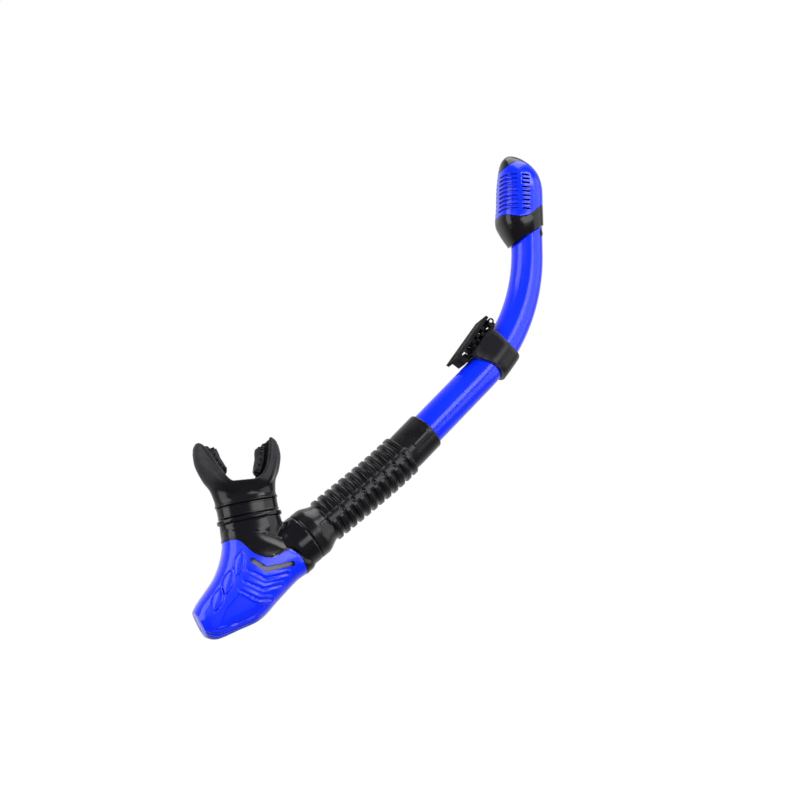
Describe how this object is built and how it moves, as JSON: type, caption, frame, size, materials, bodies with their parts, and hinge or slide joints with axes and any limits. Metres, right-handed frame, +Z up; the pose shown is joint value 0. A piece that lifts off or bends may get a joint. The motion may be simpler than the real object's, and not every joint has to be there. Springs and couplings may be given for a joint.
{
  "type": "snorkel tube",
  "caption": "Dry-top snorkel: curved blue barrel, louvred float valve head, hinged strap keeper, ribbed flexible hose, and a purge housing with a soft bite mouthpiece.",
  "frame": {"origin": "middle of the keeper's mask strap slot", "axes": "+Z up with the dry top at the top, X in the snorkel's plane with the mouthpiece at -X, Y across the snorkel along the strap's run"},
  "size_m": [0.2718, 0.042, 0.3829],
  "materials": {
    "blue_plastic": "glossy saturated blue",
    "gloss_black_plastic": "polished black",
    "satin_black_plastic": "satin black",
    "keeper_plastic": "black with a moulded sheen",
    "hose_rubber": "smooth black rubber",
    "silicone": "soft satin black silicone",
    "white_plastic": "matt white",
    "steel": "drawn stainless wire"
  },
  "bodies": {
    "barrel": {"barrel_tube": "blue_plastic", "dry_top_collar": "gloss_black_plastic", "dry_top_cover": "blue_plastic", "dry_top_cap": "gloss_black_plastic", "dry_top_o_ring": "silicone", "float_pin": "steel", "flex_hose": "hose_rubber"},
    "float": {"float_block": "white_plastic", "valve_lever": "white_plastic", "valve_seal": "silicone"},
    "button": {"lock_button": "satin_black_plastic"},
    "keeper": {"keeper_band": "keeper_plastic", "gate_pin": "steel"},
    "gate": {"strap_gate": "keeper_plastic"},
    "lower_body": {"y_housing": "gloss_black_plastic", "mouthpiece": "silicone", "mouthpiece_clamp": "satin_black_plastic", "purge_cover": "blue_plastic", "cover_gasket": "silicone", "purge_valve_seat": "satin_black_plastic"},
    "diaphragm": {"purge_diaphragm": "silicone"}
  },
  "joints": [
    {"name": "hose_bend", "type": "hinge", "parent": "barrel", "child": "lower_body", "pos_m": [-0.08287, 0, -0.11465], "axis": [0, 1, 0], "range_deg": [-30, 30], "stiffness_Nm_per_rad": 1.5, "springref_deg": 3.44, "deforming": ["flex_hose"]},
    {"name": "keeper_slide", "type": "hinge", "parent": "barrel", "child": "keeper", "pos_m": [-0.10216, 0, 0.07483], "axis": [0, 1, 0], "range_deg": [-22, 4]},
    {"name": "gate_hinge", "type": "hinge", "parent": "keeper", "child": "gate", "pos_m": [0.01003, 0, 0.01397], "axis": [0, 1, 0], "range_deg": [0, 95]},
    {"name": "float_swing", "type": "hinge", "parent": "barrel", "child": "float", "pos_m": [0.03674, 0, 0.10403], "axis": [0, 1, 0], "range_deg": [0, 18]},
    {"name": "lock_button_press", "type": "slide", "parent": "barrel", "child": "button", "axis": [-0.7524, 0.6587, 0], "range_m": [0, 0.0015], "stiffness_N_per_m": 400, "springref_m": -0.0005},
    {"name": "purge_lift", "type": "slide", "parent": "lower_body", "child": "diaphragm", "axis": [-0.2656, 0, -0.9641], "range_m": [0, 0.0015], "stiffness_N_per_m": 60, "springref_m": -0.0006}
  ]
}
